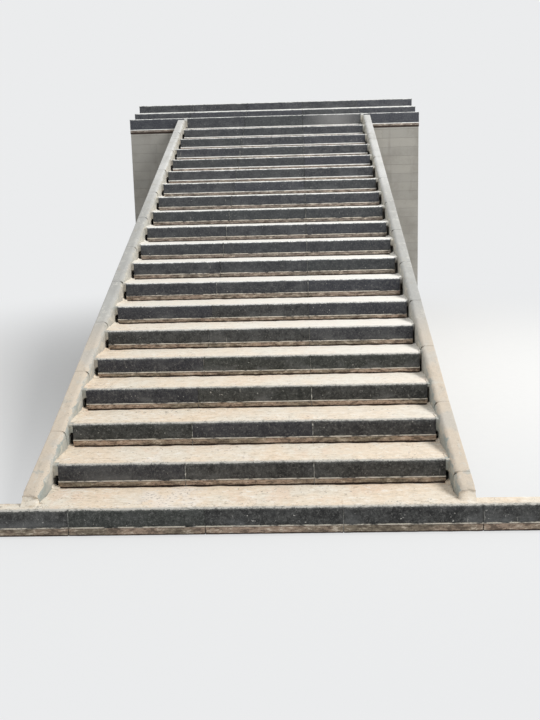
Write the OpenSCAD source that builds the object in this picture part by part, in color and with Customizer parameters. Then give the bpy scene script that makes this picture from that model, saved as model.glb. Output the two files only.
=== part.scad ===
// Outdoor stone steps: a straight flight of dark step stones between two sloping concrete kerbs.
// The flight climbs towards +Y, its front faces -Y and +X is to the right.
// The origin is the middle of the footprint, at the level of the ground at the foot of the steps.

/* [Flight] */
// Number of steps, counted from the wide lowest course to the highest one
step_count = 22; // [8:1:24]
// Height of a step, from one tread to the next
rise = 168; // [155:1:185]
// Depth of a step, from one nosing to the next
going = 545; // [400:5:650]
// Height of the lowest course above the ground
first_rise = 198; // [170:1:220]
// Extra height of the lowest of the wide top courses
top_lift = 45; // [0:1:50]
// How far courses three and four were laid too high and course seven too low
uneven = 6; // [0:1:8]
// Number of stones across the flight
stones_across = 3; // [2:1:3]
// Number of wide courses at the top of the flight
top_courses = 3; // [2:1:4]

/* [Step stones] */
// Length of one step stone with its joint
stone_length = 1000; // [800:10:1010]
// Open joint between two stones
stone_joint = 3; // [2:1:12]
// Thickness of a stone from its nosing to its back
stone_depth = 150; // [120:5:180]
// Radius of the rounded top arris
nose_radius = 18; // [6:1:25]
// How far the face leans out between the arris and the ledge
face_batter = 6; // [2:1:12]
// Width of the small ledge above the foot strip
ledge_width = 9; // [4:1:15]
// Fall of that ledge towards its edge
ledge_fall = 3; // [1:1:6]
// Height of the dark face, from the top of the stone down to the ledge
face_height = 135; // [110:1:145]
// How deep a stone stands below the top of the stones in front of it
stone_embed = 40; // [30:5:60]

/* [Courses] */
// Half the width of the lowest course
bottom_half_width = 2700; // [2000:10:2950]
// Place of one joint of the lowest course, seen from the middle of the flight
bottom_joint_x = -300; // [-450:10:450]
// Shortest cut stone at the ends of the lowest course
shortest_cut = 150; // [100:10:300]
// Number of courses above the lowest one whose right stone is cut longer
longer_courses = 6; // [0:1:7]
// How much longer those stones are
longer_by = 15; // [0:1:20]
// Number of stones in each wide top course
top_stones = 5; // [4:1:5]

/* [Treads] */
// How far the concrete falls from the back of one stone to the foot of the next
tread_fall = 12; // [0:1:20]
// Thickness of the tread's edge beside the stone ends
infill_thickness = 60; // [40:5:60]
// Thickness of the concrete below the back of a stone
bed_thickness = 40; // [30:5:60]
// Open groove between a tread and the foot of the next stone
foot_groove = 6; // [2:1:12]
// How much of a stone's end the tread leaves bare
bare_end = 70; // [30:5:100]

/* [Kerbs] */
// Distance from the middle of the flight to the inner face of a kerb
kerb_inner_side = 1530; // [1520:1:1560]
// Thickness of a kerb
kerb_thickness = 130; // [90:5:140]
// Depth of a kerb unit, square to the slope
kerb_depth = 250; // [220:5:260]
// Height of a kerb's top above the line of the nosings
kerb_above = 20; // [0:1:40]
// Radius of a kerb's inner top edge
kerb_inner_radius = 45; // [5:1:60]
// Radius of a kerb's outer top edge
kerb_outer_radius = 8; // [2:1:20]
// Length of one kerb unit with its joint, along the slope
kerb_unit = 1000; // [600:10:1200]
// Open joint between two kerb units
kerb_joint = 6; // [3:1:12]
// How far the foot of a kerb stands out from its line
foot_splay = 15; // [0:1:20]
// Length of the cut unit at the foot of the left kerb
left_first_unit = 880; // [200:10:1000]
// Length of the cut unit at the foot of the right kerb
right_first_unit = 240; // [200:10:1000]

/* [Concrete below the steps] */
// Thickness of the sloping slab, square to the slope
slab_thickness = 150; // [120:10:220]
// Thickness of a cheek wall
cheek_thickness = 145; // [130:5:220]
// Height of a cheek wall's front end
cheek_front_height = 60; // [40:5:120]
// Thickness of the walls and of the top of the base below the wide top courses
base_wall = 200; // [150:10:250]
// Thickness of the back wall
back_wall_thickness = 200; // [100:10:300]
// How far the wide courses stand out over the walls below them
wall_setback = 10; // [0:5:30]

/* [Hidden] */
// Seam between pieces that are bedded against each other
seam = 1;
// Larger than any size of the steps, for cutting blocks
beyond = 20000;
fall = rise / going;
slope = atan(fall);
foot_out = face_batter + ledge_width;
flight_half = stones_across * stone_length / 2;
top_half = top_stones * stone_length / 2;
bed_half = kerb_inner_side - seam;
top_first = step_count - top_courses + 1;
total_run = foot_out + (step_count - 1) * going + stone_depth + seam + back_wall_thickness;
first_nose = foot_out - total_run / 2;
back = total_run / 2;
back_wall_front = back - back_wall_thickness;
base_front = nose_y(top_first) - foot_out;
base_top = seat_z(top_first);
kerb_start = first_nose + (stone_depth + 2 * seam - kerb_above * fall) / (1 + fall * fall);

step_names = [for (i = [1:step_count]) str("step_", i < 10 ? "0" : "", i)];
other_names = [
    "treads",
    "left_kerb",
    "right_kerb",
    "flight_slab",
    "left_cheek_wall",
    "right_cheek_wall",
    "terrace_front_wall",
    "terrace_left_wall",
    "terrace_right_wall",
    "terrace_slab",
    "terrace_back_wall"
];

// Nosing of step i
function nose_y(i) = first_nose + (i - 1) * going;

// Level of tread i, with the ground as tread 0
function tread_z(i) =
    i < 1 ? 0 : first_rise + (i - 1) * rise + (i == top_first ? top_lift : laid_high(i));

// How much higher than planned course i was laid
function laid_high(i) = i == 3 || i == 4 ? uneven : i == 7 ? -uneven : 0;

// Level of the underside of the stones of step i
function seat_z(i) = i == 1 ? 0 : tread_z(i - 1) - stone_embed;

// Level of the line through the nosings
function nosing_line(y) = first_rise + (y - first_nose) * fall;

// Level of the top of the sloping slab, and the place where it leaves the ground
slab_drop = rise + stone_embed + bed_thickness;
function slab_line(y) = nosing_line(y - stone_depth - seam) - slab_drop;
slab_start = first_nose + stone_depth + seam + (slab_drop - first_rise) / fall;

// Level of the underside of the kerbs
function kerb_under(y) = nosing_line(y) + kerb_above - kerb_depth / cos(slope);

// Draws its shape along X from -half to half, where the shape's x is Y and its y is Z
module across(half) {
    translate([-half, 0, 0])
        rotate([90, 0, 90])
            linear_extrude(height = 2 * half)
                children();
}

// Section of a step stone, x to the back and y up, with its nosing at x = 0
module stone_section(height, ledge) {
    union() {
        polygon([
            [-foot_out, 0],
            [stone_depth, 0],
            [stone_depth, height],
            [nose_radius, height],
            [0, height - nose_radius],
            [-face_batter, ledge],
            [-foot_out, ledge - ledge_fall]
        ]);
        translate([nose_radius, height - nose_radius]) circle(r = nose_radius, $fn = 48);
    }
}

// One course of stones between the listed joints
module course(i, joints) {
    height = tread_z(i) - seat_z(i);
    ledge = height - face_height - (i == top_first ? top_lift : 0);
    color("dimgray")
        for (k = [0:len(joints) - 2])
            translate([(joints[k] + joints[k + 1]) / 2, nose_y(i), seat_z(i)])
                across((joints[k + 1] - joints[k] - stone_joint) / 2)
                    stone_section(height, ledge);
}

// Joints of a wide top course
function top_joints() = [for (k = [0:top_stones]) (k - top_stones / 2) * stone_length];

// How much longer the right stone of course i is
function longer(i) = i > 1 && i <= longer_courses + 1 ? longer_by : 0;

// Joints of course i inside the flight
function flight_joints(i) = [
    for (k = [0:stones_across])
        k * stone_length - flight_half + (k == stones_across ? longer(i) : 0)
];

// Joints of the lowest course: whole stones with a cut stone where one is needed
function bottom_joints() =
    let (reach = bottom_half_width - shortest_cut)
    concat(
        [-bottom_half_width],
        [for (k = [-4:4]) let (x = bottom_joint_x + k * stone_length) if (abs(x) < reach) x],
        [bottom_half_width]
    );

module step(i) {
    if (i == 1) course(i, bottom_joints());
    else if (i < top_first) course(i, flight_joints(i));
    else course(i, top_joints());
}

// Length of the foot of a kerb that stands out: its first unit, with the next one where the first is short
function splayed_length(first_unit) = first_unit < kerb_unit / 2 ? first_unit + kerb_unit : first_unit;

// Where the kerb comes into its line
function splay_end(first_unit) = kerb_start + splayed_length(first_unit) * cos(slope);

// Plan of the space between the kerbs
module between_kerbs() {
    linear_extrude(height = beyond)
        polygon([
            [-bed_half - foot_splay, kerb_start],
            [-bed_half, splay_end(left_first_unit)],
            [-bed_half, back],
            [bed_half, back],
            [bed_half, splay_end(right_first_unit)],
            [bed_half + foot_splay, kerb_start]
        ]);
}

// The sides of a tread, which reach the kerbs and wrap round the ends of the stones
module tread_sides(i) {
    near = nose_y(i) + stone_depth + seam;
    groove = nose_y(i + 1) - foot_out - foot_groove;
    wrap = nose_y(i) + bare_end;
    half = bed_half + foot_splay;
    level = tread_z(i);
    intersection() {
        union() {
            across(half)
                polygon([
                    [near, level - infill_thickness],
                    [near, level],
                    [groove, level - tread_fall],
                    [groove, level - tread_fall - infill_thickness]
                ]);
            if (i > 1)
                for (side = [[-half, -flight_half], [flight_half + longer(i), half]])
                    translate([side[0], wrap, level - infill_thickness])
                        cube([side[1] - side[0], near - wrap, infill_thickness]);
        }
        between_kerbs();
    }
}

// Section of the concrete of tread i, which carries the stones of the next step
module tread_section(i) {
    near = nose_y(i) + stone_depth + seam;
    far = nose_y(i + 1) - foot_out;
    groove = far - foot_groove;
    carries = i + 1 != top_first;
    end = carries ? nose_y(i + 1) + stone_depth : far - seam;
    seat = seat_z(i + 1);
    near_bottom = i >= top_first ? base_top : max(0, slab_line(near));
    end_bottom = i >= top_first ? base_top : slab_line(end);
    ground_end = i == 1 ? [[slab_start, 0]] : [];
    polygon(concat(
        [[near, near_bottom], [near, tread_z(i)], [groove, tread_z(i) - tread_fall]],
        [[groove, seat], [end, seat], [end, end_bottom]],
        ground_end
    ));
}

// A tread inside the flight, or one that runs over the whole width of the top courses
module tread(i) {
    wide = i >= top_first;
    across(wide ? top_half - stone_joint / 2 : bed_half) tread_section(i);
    if (!wide) tread_sides(i);
}

module treads() {
    color("wheat")
        for (i = [1:step_count - 1]) tread(i);
}

// Section of a kerb unit, x outwards from its inner face and y up, with its top at y = 0
module kerb_section() {
    union() {
        polygon([
            [0, -kerb_depth],
            [kerb_thickness, -kerb_depth],
            [kerb_thickness, -kerb_outer_radius],
            [kerb_thickness - kerb_outer_radius, 0],
            [kerb_inner_radius, 0],
            [0, -kerb_inner_radius]
        ]);
        translate([kerb_inner_radius, -kerb_inner_radius]) circle(r = kerb_inner_radius, $fn = 48);
        translate([kerb_thickness - kerb_outer_radius, -kerb_outer_radius])
            circle(r = kerb_outer_radius, $fn = 48);
    }
}

// One straight kerb unit that starts at the distance from the kerb's foot, along the slope
module kerb_unit_at(distance, length) {
    translate([kerb_inner_side, kerb_start, nosing_line(kerb_start) + kerb_above])
        rotate([slope, 0, 0])
            translate([0, distance + length - kerb_joint, 0])
                rotate([90, 0, 0])
                    linear_extrude(height = length - kerb_joint)
                        kerb_section();
}

// The right kerb: a cut unit at the foot, then whole units, cut off square where the wide courses start
module kerb(first_unit) {
    top_end = base_front - seam;
    splayed = splayed_length(first_unit);
    straight_units = ceil(((top_end - kerb_start) / cos(slope) - splayed) / kerb_unit);
    joint_y = splay_end(first_unit);
    color("silver")
        intersection() {
            union() {
                translate([kerb_inner_side, joint_y, 0])
                    rotate([0, 0, asin(foot_splay / (joint_y - kerb_start))])
                        translate([-kerb_inner_side, -joint_y, 0]) {
                            kerb_unit_at(0, first_unit);
                            if (splayed > first_unit) kerb_unit_at(first_unit, kerb_unit);
                        }
                for (k = [0:straight_units - 1])
                    kerb_unit_at(splayed + k * kerb_unit, kerb_unit);
            }
            translate([0, top_end - beyond, 0]) cube(beyond);
        }
}

module left_kerb() {
    mirror([1, 0, 0]) kerb(left_first_unit);
}

module right_kerb() {
    kerb(right_first_unit);
}

// Sloping slab below the treads, whose foot lies on the ground
module flight_slab() {
    drop = slab_thickness / cos(slope);
    end = base_front - seam;
    color("darkgray")
        across(bed_half)
            polygon([
                [slab_start, 0],
                [end, slab_line(end)],
                [end, slab_line(end) - drop],
                [slab_start + drop / fall, 0]
            ]);
}

// Wall below the right kerb, from its underside down to the ground
module right_cheek_wall() {
    start = kerb_start + (cheek_front_height - kerb_under(kerb_start)) / fall;
    end = base_front - seam;
    color("gray")
        translate([kerb_inner_side + cheek_thickness / 2, 0, 0])
            across(cheek_thickness / 2)
                polygon([
                    [start, 0],
                    [start, cheek_front_height],
                    [end, kerb_under(end)],
                    [end, 0]
                ]);
}

module left_cheek_wall() {
    mirror([1, 0, 0]) right_cheek_wall();
}

// Wall across the steps below the front of the wide top courses
module terrace_front_wall() {
    half = top_half - wall_setback;
    color("gray")
        translate([-half, base_front, 0]) cube([2 * half, base_wall, base_top - base_wall]);
}

// Wall below the right end of the wide top courses
module terrace_right_wall() {
    start = base_front + base_wall;
    color("gray")
        translate([top_half - wall_setback - base_wall, start, 0])
            cube([base_wall, back_wall_front - start, base_top - base_wall]);
}

module terrace_left_wall() {
    mirror([1, 0, 0]) terrace_right_wall();
}

// Slab on the walls, which carries the wide top courses
module terrace_slab() {
    half = top_half - wall_setback;
    color("gray")
        translate([-half, base_front, base_top - base_wall])
            cube([2 * half, back_wall_front - base_front, base_wall - seam]);
}

// Plain wall at the back, up to the top of the highest course
module terrace_back_wall() {
    half = top_half - wall_setback;
    color("gray")
        translate([-half, back_wall_front, 0])
            cube([2 * half, back_wall_thickness, tread_z(step_count)]);
}

for (i = [1:step_count])
    step(i);
treads();
left_kerb();
right_kerb();
flight_slab();
left_cheek_wall();
right_cheek_wall();
terrace_front_wall();
terrace_left_wall();
terrace_right_wall();
terrace_slab();
terrace_back_wall();
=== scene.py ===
import math
import random

import bmesh
import bpy
from mathutils import Matrix, Vector


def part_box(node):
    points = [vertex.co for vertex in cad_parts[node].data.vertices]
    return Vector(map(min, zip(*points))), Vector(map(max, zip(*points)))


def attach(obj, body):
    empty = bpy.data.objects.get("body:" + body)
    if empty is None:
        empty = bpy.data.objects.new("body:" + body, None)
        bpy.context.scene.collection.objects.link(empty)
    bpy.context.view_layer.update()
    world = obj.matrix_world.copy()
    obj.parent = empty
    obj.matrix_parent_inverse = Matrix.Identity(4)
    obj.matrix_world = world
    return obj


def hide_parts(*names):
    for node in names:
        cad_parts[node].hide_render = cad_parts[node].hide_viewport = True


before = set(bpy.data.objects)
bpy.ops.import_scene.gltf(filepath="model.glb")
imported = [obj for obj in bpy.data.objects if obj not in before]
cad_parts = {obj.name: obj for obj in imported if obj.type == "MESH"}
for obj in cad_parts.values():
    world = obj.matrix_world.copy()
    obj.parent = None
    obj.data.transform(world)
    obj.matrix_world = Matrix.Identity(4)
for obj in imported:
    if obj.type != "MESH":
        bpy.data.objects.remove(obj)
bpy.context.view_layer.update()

# Sizes of the steps, in metres, read off the frame where it has them
step_nodes = sorted(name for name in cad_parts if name.startswith("step_"))
step_count = len(step_nodes)
stone_boxes = [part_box(name) for name in step_nodes]
face_batter = 0.006
ledge_width = 0.009
ledge_fall = 0.003
foot_out = face_batter + ledge_width
face_height = 0.135
nose_radius = 0.018
stone_joint = 0.003
tread_fall = 0.012
foot_groove = 0.006
infill_thickness = 0.06
bare_end = 0.07
kerb_above = 0.02
kerb_depth = 0.25
kerb_thickness = 0.13
kerb_inner_radius = 0.045
kerb_outer_radius = 0.008
kerb_unit = 1.0
kerb_joint = 0.006
kerb_overlap = 0.008
first_units = {"left_kerb": 0.88, "right_kerb": 0.24}
foot_splay = 0.015
seam = 0.001
nosings = [low.y + foot_out for low, high in stone_boxes]
tread_levels = [0.0] + [high.z for low, high in stone_boxes]
rise = tread_levels[2] - tread_levels[1]
going = nosings[1] - nosings[0]
fall = rise / going
slope = math.atan(fall)
foot_levels = [0.0] + [level - tread_fall for level in tread_levels[1:]]
stone_seats = [low.z for low, high in stone_boxes]
course_ends = [high.x + stone_joint / 2 for low, high in stone_boxes]
stone_back = stone_boxes[1][1].y - nosings[1]
flight_half = stone_joint / 2 - stone_boxes[1][0].x
wide_from = next(i for i in range(1, step_count) if course_ends[i] > flight_half + 0.1)
top_lift = tread_levels[wide_from + 1] - tread_levels[1] - wide_from * rise
ledge_levels = [level - face_height for level in tread_levels[1:]]
ledge_levels[wide_from] -= top_lift
kerb_low, kerb_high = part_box("right_kerb")
slab_drop = rise + tread_levels[1] - stone_seats[1] + 0.04
# a point this near to a plane counts as lying in it
slack = 0.001


def nosing_line(y):
    """Level of the line through the nosings."""
    return tread_levels[1] + (y - nosings[0]) * fall


def slab_top(y):
    """Level of the top of the sloping slab below the treads."""
    return nosing_line(y - stone_back - seam) - slab_drop


def course_joints(step):
    """Joints and ends of a course of whole stones. The lowest has a cut stone at its left end."""
    if step == 0:
        return [-course_ends[0]] + [k - 0.3 for k in range(-2, 3)] + [course_ends[0]]
    whole = round(2 * course_ends[step])
    return [k - whole / 2 for k in range(whole)] + [course_ends[step]]


def splayed_run(side):
    """Length in plan of a kerb's foot that stands out: a whole unit, and the cut one if that is short."""
    first = first_units["right_kerb" if side > 0 else "left_kerb"]
    return (first + (kerb_unit if first < kerb_unit / 2 else 0.0)) * math.cos(slope)


def stands_out(side, y):
    """How far the kerb's inner face stands out from its line at y."""
    return foot_splay * max(0.0, 1.0 - (y - kerb_low.y) / splayed_run(side))


# Camera, at the photo's place and angle
def aim_camera():
    camera = bpy.data.objects.new("camera", bpy.data.cameras.new("camera"))
    bpy.context.scene.collection.objects.link(camera)
    across, before, above = 0.432, 6.422, 2.421
    turn, dip, tilt = math.radians(2.065), math.radians(-11.758), math.radians(-1.498)
    camera.matrix_world = (
        Matrix.Translation((across, nosings[0] - before, tread_levels[1] + above))
        @ Matrix.Rotation(turn, 4, "Z")
        @ Matrix.Rotation(math.pi / 2 + dip, 4, "X")
        @ Matrix.Rotation(tilt, 4, "Z")
    )
    camera.data.sensor_fit = "VERTICAL"
    camera.data.sensor_height = 36
    camera.data.lens = 47.1
    camera.data.clip_end = 200
    bpy.context.scene.camera = camera


aim_camera()


# Shader sums written as sums
class Socket:
    """An output of a finish's nodes, which sums and products can be written with."""

    def __init__(self, finish, output):
        self.finish = finish
        self.output = output

    def _math(self, operation, *values):
        return self.finish.node("ShaderNodeMath", {"operation": operation}, dict(enumerate(values)))

    def __add__(self, other):
        return self._math("ADD", self, other)

    def __radd__(self, other):
        return self._math("ADD", other, self)

    def __sub__(self, other):
        return self._math("SUBTRACT", self, other)

    def __rsub__(self, other):
        return self._math("SUBTRACT", other, self)

    def __mul__(self, other):
        return self._math("MULTIPLY", self, other)

    def __rmul__(self, other):
        return self._math("MULTIPLY", other, self)


class Finish:
    """A procedural material and the few nodes that every finish here is built from."""

    def __init__(self, name, roughness=0.9):
        self.material = bpy.data.materials.new(name)
        self.material.use_nodes = True
        self.nodes = self.material.node_tree.nodes
        self.shader = self.nodes["Principled BSDF"]
        self.shader.inputs["Roughness"].default_value = roughness
        self.place = self.node("ShaderNodeTexCoord", output="Object")
        parts = self.node("ShaderNodeSeparateXYZ", None, {0: self.place}).output.node.outputs
        self.across, self.forward, self.height = (Socket(self, part) for part in parts)

    def node(self, kind, settings=None, sockets=None, output=0):
        """A new node with its settings and the values or links of its sockets."""
        node = self.nodes.new(kind)
        for name, value in (settings or {}).items():
            setattr(node, name, value)
        for name, value in (sockets or {}).items():
            self.feed(node.inputs[name], value)
        return Socket(self, node.outputs[output])

    def feed(self, target, value):
        """Links a socket, or sets it to a number or colour."""
        if isinstance(value, Socket):
            self.material.node_tree.links.new(value.output, target)
        elif hasattr(target.default_value, "__len__"):
            target.default_value = tuple(value)[: len(target.default_value)]
        else:
            target.default_value = value

    def noise(self, size, detail=3, roughness=0.5, stretch=None):
        """Noise from 0 to 1 whose patches are about the size, in metres."""
        place = self.place
        if stretch:
            place = self.node("ShaderNodeVectorMath", {"operation": "MULTIPLY"}, {0: place, 1: stretch})
        sockets = {"Vector": place, "Scale": 1 / size, "Detail": detail, "Roughness": roughness}
        return self.node("ShaderNodeTexNoise", None, sockets, "Fac")

    def ease(self, value, start, end, most=1.0):
        """0 below start, the most above end and a soft step between, or the reverse if start is larger."""
        sockets = {"Value": value, "From Min": start, "From Max": end, "To Max": most}
        return self.node("ShaderNodeMapRange", {"interpolation_type": "SMOOTHSTEP"}, sockets, "Result")

    def near(self, point, reach, most):
        """The most at a point and 0 from the reach on."""
        sockets = {0: self.place, 1: point}
        distance = self.node("ShaderNodeVectorMath", {"operation": "DISTANCE"}, sockets, "Value")
        return self.ease(distance, reach, 0.0, most)

    def blend(self, share, first, second):
        settings = {"data_type": "RGBA", "clamp_factor": True}
        return self.node("ShaderNodeMix", settings, {0: share, 6: first, 7: second}, 2)

    def coats(self, colour, *coats):
        """The colour under some coats, each with its share and its 0 to 255 colour."""
        for share, *coat in coats:
            colour = self.blend(share, colour, srgb(*coat))
        return colour

    def attribute(self, name):
        return self.node("ShaderNodeAttribute", {"attribute_name": name}, output="Fac")

    def done(self, colour, relief, depth, strength):
        """The material with its colour and its relief, up to the depth in metres."""
        self.feed(self.shader.inputs["Base Color"], colour)
        sockets = {"Height": relief, "Distance": depth, "Strength": strength}
        self.feed(self.shader.inputs["Normal"], self.node("ShaderNodeBump", None, sockets, "Normal"))
        return self.material


def srgb(red, green, blue):
    """A colour from its 0 to 255 values, as the shaders need it."""
    def linear(value):
        value = value / 255
        return value / 12.92 if value <= 0.04045 else ((value + 0.055) / 1.055) ** 2.4
    return (linear(red), linear(green), linear(blue), 1.0)


backdrop_colour = srgb(235, 236, 237)


def floor_finish():
    """A pale floor that turns into the backdrop's colour far away from the steps."""
    finish = Finish("pale_floor")
    colour = finish.coats(srgb(232, 231, 228), (finish.noise(0.1), 228, 227, 224))
    finish.feed(finish.shader.inputs["Base Color"], colour)
    length = {"operation": "LENGTH"}
    distance = finish.node("ShaderNodeVectorMath", length, {0: finish.place}, "Value")
    glow = finish.node("ShaderNodeEmission", None, {"Color": backdrop_colour})
    surface = Socket(finish, finish.shader.outputs["BSDF"])
    choice = {0: finish.ease(distance, 1.0, 9.0), 1: surface, 2: glow}
    choice = finish.node("ShaderNodeMixShader", None, choice)
    finish.feed(finish.nodes["Material Output"].inputs["Surface"], choice)
    return finish.material


# Places where the photo shows a patch of its own colour, one of them a haze with a painted reflection
chalky_place = (-0.55, nosings[0] + 0.2, tread_levels[1])
rosy_places = [
    (0.16, nosings[0] + 0.24, tread_levels[1]),
    (-1.42, nosings[0] + 0.34, tread_levels[1]),
    (0.95, nosings[0] + 0.45, tread_levels[1]),
]
haze_and_sheen_place = (-1.15, nosings[1], ledge_levels[1] + 0.03)
dusty_place = (1.05, nosings[wide_from], tread_levels[wide_from + 1] - 0.03)


def dusty_concrete_and_painted_light(finish, behind):
    """Colour of the trodden concrete and of the dust on the stones, with its warmer and paler patches, and
    paler higher up and towards the right as painted sunlight.
    """
    noise, ease = finish.noise, finish.ease
    patches = noise(0.5, 4, 0.6, (1, 0.7, 1))
    grit = noise(0.012, 4, 0.7)
    swept = noise(0.07, 5, 0.65, (0.75, 1.1, 1))
    flakes = noise(0.04, 5, 0.8, (0.8, 1, 1))
    rosy = noise(0.2, 4, 0.6, (1.2, 0.5, 1))
    for place in rosy_places:
        rosy = rosy + finish.near(place, 0.35, 0.2)
    trodden = ease(noise(0.35, 3, 0.6), 0.46, 0.62)
    chalk = ease(noise(0.3, 6, 0.75, (1, 0.6, 1)) + finish.near(chalky_place, 0.6, 0.26), 0.6, 0.7)
    pits = ease(noise(0.03, 4, 0.65, (0.8, 1, 1)) + chalk * 0.05 + trodden * 0.01, 0.615, 0.655)
    lines = ease(noise(0.03, 3, 0.6, (0.5, 1.4, 1)), 0.68, 0.74)
    stone_seam = ease(behind, stone_back - 0.004, stone_back)
    stone_seam = stone_seam * ease(behind, stone_back + 0.006, stone_back + 0.001)
    return finish.coats(
        srgb(234, 215, 190),
        (ease(patches, 0.38, 0.62), 231, 221, 203),
        (ease(rosy, 0.54, 0.74, 0.45), 228, 196, 168),
        (ease(swept, 0.5, 0.68, 0.5), 200, 185, 164),
        (ease(swept, 0.44, 0.3, 0.7), 244, 239, 228),
        (ease(grit, 0.55, 0.7, 0.5), 184, 167, 144),
        (ease(grit, 0.42, 0.3, 0.4), 247, 242, 230),
        (ease(flakes, 0.53, 0.66, 0.55), 196, 177, 150),
        (ease(flakes, 0.47, 0.36, 0.5), 248, 243, 232),
        (chalk * 0.45, 240, 233, 224),
        (pits * (0.25 + trodden * 0.4 + chalk * 0.35), 92, 74, 58),
        (lines * trodden * 0.6, 150, 126, 100),
        # painted light: paler higher up and towards the right, standing for brighter sun on the upper
        # treads
        (ease(finish.height + finish.across * 0.22, 0.4, 1.6, 0.8), 241, 239, 232),
        (stone_seam * ease(noise(0.3, 3, 0.6), 0.5, 0.62, 0.8), 140, 112, 90),
    )


def stone_dust_and_painted_highlight(finish, behind, upper):
    """Dust on a stone: whitish grey on its arris, whiter on the higher courses as a painted highlight, worn
    off in places, and that of the treads behind.
    """
    noise, ease = finish.noise, finish.ease
    # the arris is dust, with a painted highlight that grows whiter on the higher courses
    nose_dust_and_highlight = finish.coats(srgb(192, 189, 180), (upper, 240, 240, 236))
    dust_and_highlight = finish.blend(ease(behind, 0.012, 0.05), nose_dust_and_highlight, dusty_concrete_and_painted_light(finish, behind))
    scuffs = noise(0.02, 5, 0.75, (0.8, 1.3, 1)) + (noise(0.12, 3, 0.6) - 0.5) * 0.25
    at_arris = ease(behind, 0.07, 0.02) * (1.0 - upper * 0.4)
    return finish.coats(dust_and_highlight, (ease(scuffs, 0.53, 0.6, 0.75) * at_arris, 112, 109, 102))


def make_stone_finish():
    """Dark stone face with dust on its arris and top and a stained strip at its foot, with painted shade
    under the ledge and along the foot, a painted reflection low on the faces and a painted highlight on the
    highest ledges.
    """
    finish = Finish("step_stone", 0.88)
    noise, ease, height = finish.noise, finish.ease, finish.height
    over_ledge = finish.attribute("above_ledge")
    under = finish.attribute("below_top")
    behind = finish.attribute("behind_nose")
    tone = finish.attribute("stone_tone")
    ragged = noise(0.02, 4, 0.65) - 0.5
    waves = noise(0.12, 3, 0.6) - 0.5
    upper = ease(height, 0.7, 1.7)
    highest = ease(height, 1.9, 2.5)

    mottle = noise(0.022, 5, 0.75)
    grain = noise(0.007, 4, 0.7)
    # pale haze on the faces, partly a painted reflection, stronger low on the face and at one stone
    haze_and_sheen = noise(0.16, 4, 0.6, (0.6, 1, 1)) + finish.near(haze_and_sheen_place, 0.5, 0.14)
    drips = ease(noise(0.02, 2, 0.5, (1, 1, 0.16)), 0.7, 0.76)
    dark = finish.coats(
        srgb(33, 33, 32),
        (ease(noise(0.09, 6, 0.7), 0.38, 0.62), 73, 73, 71),
        (ease(tone, 0.55, 1.0, 0.55), 56, 61, 54),
        (ease(tone, 0.45, 0.0, 0.6), 54, 55, 66),
        (ease(mottle, 0.52, 0.64, 0.7), 110, 109, 106),
        (ease(mottle, 0.46, 0.36, 0.75), 18, 18, 18),
        (ease(grain, 0.53, 0.66, 0.55), 116, 116, 112),
        (ease(grain, 0.46, 0.34, 0.5), 26, 26, 25),
        (ease(haze_and_sheen, 0.48, 0.68) * (0.2 + ease(over_ledge, 0.07, 0.0, 0.35)), 117, 118, 117),
        (finish.near(dusty_place, 0.65, 0.6), 170, 168, 164),
        (ease(noise(0.018, 1, 0.4), 0.76, 0.79, 0.85), 206, 203, 195),
        (upper * 0.35, 70, 74, 84),
        (drips * ease(haze_and_sheen, 0.5, 0.56, 0.5), 168, 166, 158),
    )

    streaks = noise(0.035, 6, 0.75, (0.5, 1, 1.4))
    foot = finish.coats(
        srgb(142, 131, 112),
        (ease(noise(0.3, 4, 0.6, (0.5, 1, 1)), 0.38, 0.6), 188, 163, 142),
        (ease(height, 0.2, 0.1, 0.3), 92, 76, 62),
        (upper * 0.75, 136, 127, 120),
        (ease(streaks, 0.5, 0.58, 0.75), 78, 66, 55),
        (ease(streaks, 0.45, 0.38, 0.75), 222, 208, 188),
        (ease(noise(0.012, 4, 0.7), 0.55, 0.66, 0.6), 60, 50, 43),
    )

    colour = finish.blend(ease(over_ledge + ragged * 0.008, -0.006, 0.0), foot, dark)
    off_ledge = over_ledge + ragged * 0.006
    ledge_shows = ease(noise(0.06, 4, 0.7, (0.5, 1, 1)), 0.36, 0.52)
    # painted shadow: a thin dark line just under the ledge's arris
    shade_under_ledge = ease(off_ledge, -0.012, -0.009) * ease(off_ledge, -0.005, -0.007)
    colour = finish.coats(colour, (shade_under_ledge * ledge_shows * 0.6, 70, 56, 46))
    # the ledge line is dust, widened, joined up and whitened on the highest courses as a painted highlight
    ledge_edge = off_ledge * (1.0 - highest * 0.45)
    ledge = ease(ledge_edge, -0.006, -0.003) * ease(ledge_edge, 0.004, 0.001)
    ledge = ledge * (ledge_shows + highest * 0.8 * (1.0 - ledge_shows))
    ledge_dust_and_highlight = finish.coats(srgb(232, 224, 208), (highest, 250, 249, 245))
    colour = finish.blend(ledge, colour, ledge_dust_and_highlight)

    # dark dirt and painted shade along the foot, where the stone meets the tread
    foot_dirt_and_shade = finish.attribute("above_foot") + waves * 0.014 + ragged * 0.01
    speckle = noise(0.009, 3, 0.7) - 0.5
    rubbed = under + ragged * 0.03 + speckle * 0.05 + waves * 0.03
    dust_and_highlight = ease(under + ragged * 0.02 + speckle * 0.026 + waves * 0.016, 0.0085, 0.0045)
    colour = finish.coats(
        colour,
        (ease(foot_dirt_and_shade, 0.006, 0.002), 50, 36, 27),
        (ease(rubbed, 0.022, 0.004, 0.4), 160, 159, 152),
    )
    colour = finish.blend(dust_and_highlight, colour, stone_dust_and_painted_highlight(finish, behind, upper))
    finish.feed(finish.shader.inputs["Roughness"], 0.78 + dust_and_highlight * 0.17)
    return finish.done(colour, grain + noise(0.03, 5, 0.7) * 1.5, 0.004, 0.5)


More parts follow.
